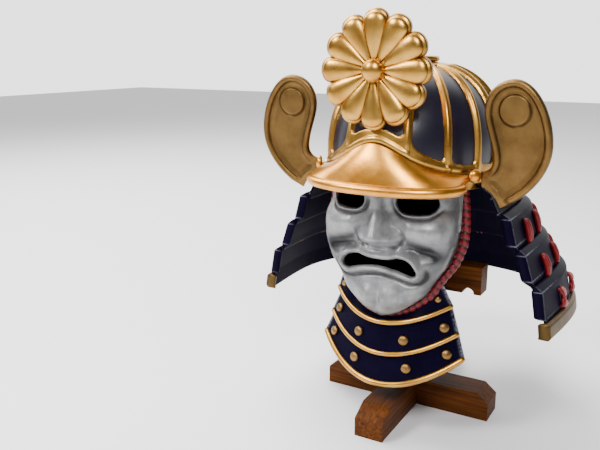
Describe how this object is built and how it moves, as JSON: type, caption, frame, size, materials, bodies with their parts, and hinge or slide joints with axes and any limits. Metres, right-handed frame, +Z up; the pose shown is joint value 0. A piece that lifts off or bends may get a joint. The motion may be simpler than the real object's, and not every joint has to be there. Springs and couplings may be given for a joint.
{
  "type": "kabuto (samurai helmet) with face mask, throat guard and neck guard, on its wooden display stand",
  "caption": "Lacquered samurai helmet with gilt flower crest, visor and ears, iron face mask, throat guard and laced neck guard, on a wooden stand.",
  "frame": {"origin": "on the floor plane under the middle of the stand's post, where the two foot bars cross", "axes": "+Z up, the helmet and mask face -Y, +X is to the right of someone who looks at the mask"},
  "size_m": [0.401, 0.3651, 0.511],
  "materials": {
    "lacquer": "near-black lacquer with a violet tint over iron, glossy",
    "gilt": "old gilt brass, satin, darker in the hollows",
    "visor_gilt": "warm gilt, hammered, satin to polished",
    "mask_iron": "silver-grey iron, satin, dark in the folds",
    "steel": "bright steel",
    "silk": "red silk cord, braided",
    "wood": "dark brown varnished hardwood"
  },
  "bodies": {
    "root": {"bowl_shell": "lacquer", "bowl_frame": "gilt", "crown_ring": "gilt", "visor": "visor_gilt", "visor_rivet_left": "visor_gilt", "visor_rivet_right": "visor_gilt", "crest_flower": "gilt", "crest_boss": "gilt", "crest_prong": "gilt", "ear_left": "gilt", "ear_pin_left": "steel", "ear_right": "gilt", "ear_pin_right": "steel", "mask": "mask_iron", "mask_cord": "silk", "mask_bracket": "wood", "throat_plate_1": "lacquer", "throat_rim_1": "gilt", "throat_stud_1_outer_left": "gilt", "throat_stud_1_outer_right": "gilt", "throat_plate_2": "lacquer", "throat_rim_2": "gilt", "throat_stud_2_inner_left": "gilt", "throat_stud_2_inner_right": "gilt", "throat_stud_2_outer_left": "gilt", "throat_stud_2_outer_right": "gilt", "throat_plate_3": "lacquer", "throat_rim_3": "gilt", "throat_stud_3_inner_left": "gilt", "throat_stud_3_inner_right": "gilt", "throat_stud_3_outer_left": "gilt", "throat_stud_3_outer_right": "gilt", "neck_lame_1": "lacquer", "neck_lame_2": "lacquer", "neck_lame_3": "lacquer", "neck_lame_4": "lacquer", "neck_trim": "gilt", "lacing_1": "silk", "lacing_2": "silk", "lacing_3": "silk", "lacing_4": "silk", "lacing_5": "silk", "lacing_6": "silk", "lacing_7": "silk", "lacing_8": "silk", "lacing_9": "silk", "lacing_10": "silk", "lacing_11": "silk", "lacing_12": "silk", "stand_beam": "wood", "stand_foot": "wood", "stand_post": "wood", "stand_crossbar": "wood", "stand_head_rest": "wood"}
  },
  "joints": []
}
